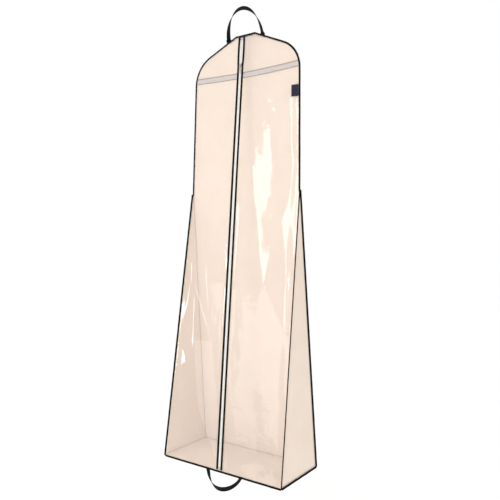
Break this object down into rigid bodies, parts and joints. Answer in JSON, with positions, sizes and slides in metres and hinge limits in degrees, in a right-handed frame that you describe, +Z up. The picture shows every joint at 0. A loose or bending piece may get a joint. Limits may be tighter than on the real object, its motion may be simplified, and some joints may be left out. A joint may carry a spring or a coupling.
{
  "type": "garment bag",
  "caption": "Full-length gown bag: clear zipped front, ivory fabric back with a vent band, gussets that open to a deep rectangular foot, black bound seams and a webbing handle at each end.",
  "frame": {"origin": "middle of the hanger opening in the top edge, in the plane of the side seams, where a clothes hanger's neck comes out", "axes": "+Z up along the hung bag, -Y the clear zipped front, +X to the right of someone facing the front"},
  "size_m": [0.6066, 0.2917, 2.0476],
  "materials": {
    "clear_film": "clear soft vinyl film, glossy, lightly rippled",
    "ivory_fabric": "ivory non-woven fabric, matt with a fine pressed grain",
    "black_binding": "black woven binding tape, stitched",
    "vent_mesh": "grey open knitted mesh",
    "vent_tape": "grey woven tape, stitched",
    "zip_tape": "white herringbone tape",
    "zip_coil": "white nylon coil",
    "zip_metal": "nickel-plated die casting, satin",
    "webbing": "black ribbed polypropylene webbing",
    "label": "dark woven satin label, blank"
  },
  "bodies": {
    "root": {"front_panel_left": "clear_film", "front_panel_right": "clear_film", "back_panel": "ivory_fabric", "back_yoke": "ivory_fabric", "gusset_left": "ivory_fabric", "gusset_right": "ivory_fabric", "base_panel": "ivory_fabric", "neck_binding_front": "black_binding", "neck_binding_rear": "black_binding", "shoulder_binding_left": "black_binding", "shoulder_binding_right": "black_binding", "front_edge_binding_left": "black_binding", "front_edge_binding_right": "black_binding", "rear_edge_binding_left": "black_binding", "rear_edge_binding_right": "black_binding", "base_binding_front": "black_binding", "base_binding_rear": "black_binding", "base_binding_left": "black_binding", "base_binding_right": "black_binding", "zip_binding_left": "black_binding", "zip_binding_right": "black_binding", "vent_mesh": "vent_mesh", "vent_tape_upper": "vent_tape", "vent_tape_lower": "vent_tape", "zip_tape_left": "zip_tape", "zip_tape_right": "zip_tape", "zip_coil_left": "zip_coil", "zip_coil_right": "zip_coil", "zip_top_stops": "zip_metal", "zip_bottom_stop": "zip_metal", "bottom_handle_end_left": "webbing", "bottom_handle_end_right": "webbing", "side_label": "label"},
    "slider": {"zip_slider": "zip_metal"},
    "pull": {"pull_tab": "zip_metal"},
    "top_loop": {"top_handle": "webbing"},
    "bottom_loop": {"bottom_handle": "webbing"}
  },
  "joints": [
    {"name": "zip_travel", "type": "slide", "parent": "root", "child": "slider", "axis": [0, -0.0631, -0.998], "range_m": [-0.1, 1.685]},
    {"name": "pull_swing", "type": "hinge", "parent": "slider", "child": "pull", "pos_m": [0, -0.03812, -0.14103], "axis": [-1, 0, 0], "range_deg": [0, 165]},
    {"name": "top_handle_swing", "type": "hinge", "parent": "root", "child": "top_loop", "pos_m": [0, 0, -0.0005], "axis": [1, 0, 0], "range_deg": [-80, 80], "stiffness_Nm_per_rad": 0.06},
    {"name": "bottom_handle_swing", "type": "hinge", "parent": "root", "child": "bottom_loop", "pos_m": [0, -0.101, -1.8496], "axis": [1, 0, 0], "range_deg": [-50, 55]}
  ]
}
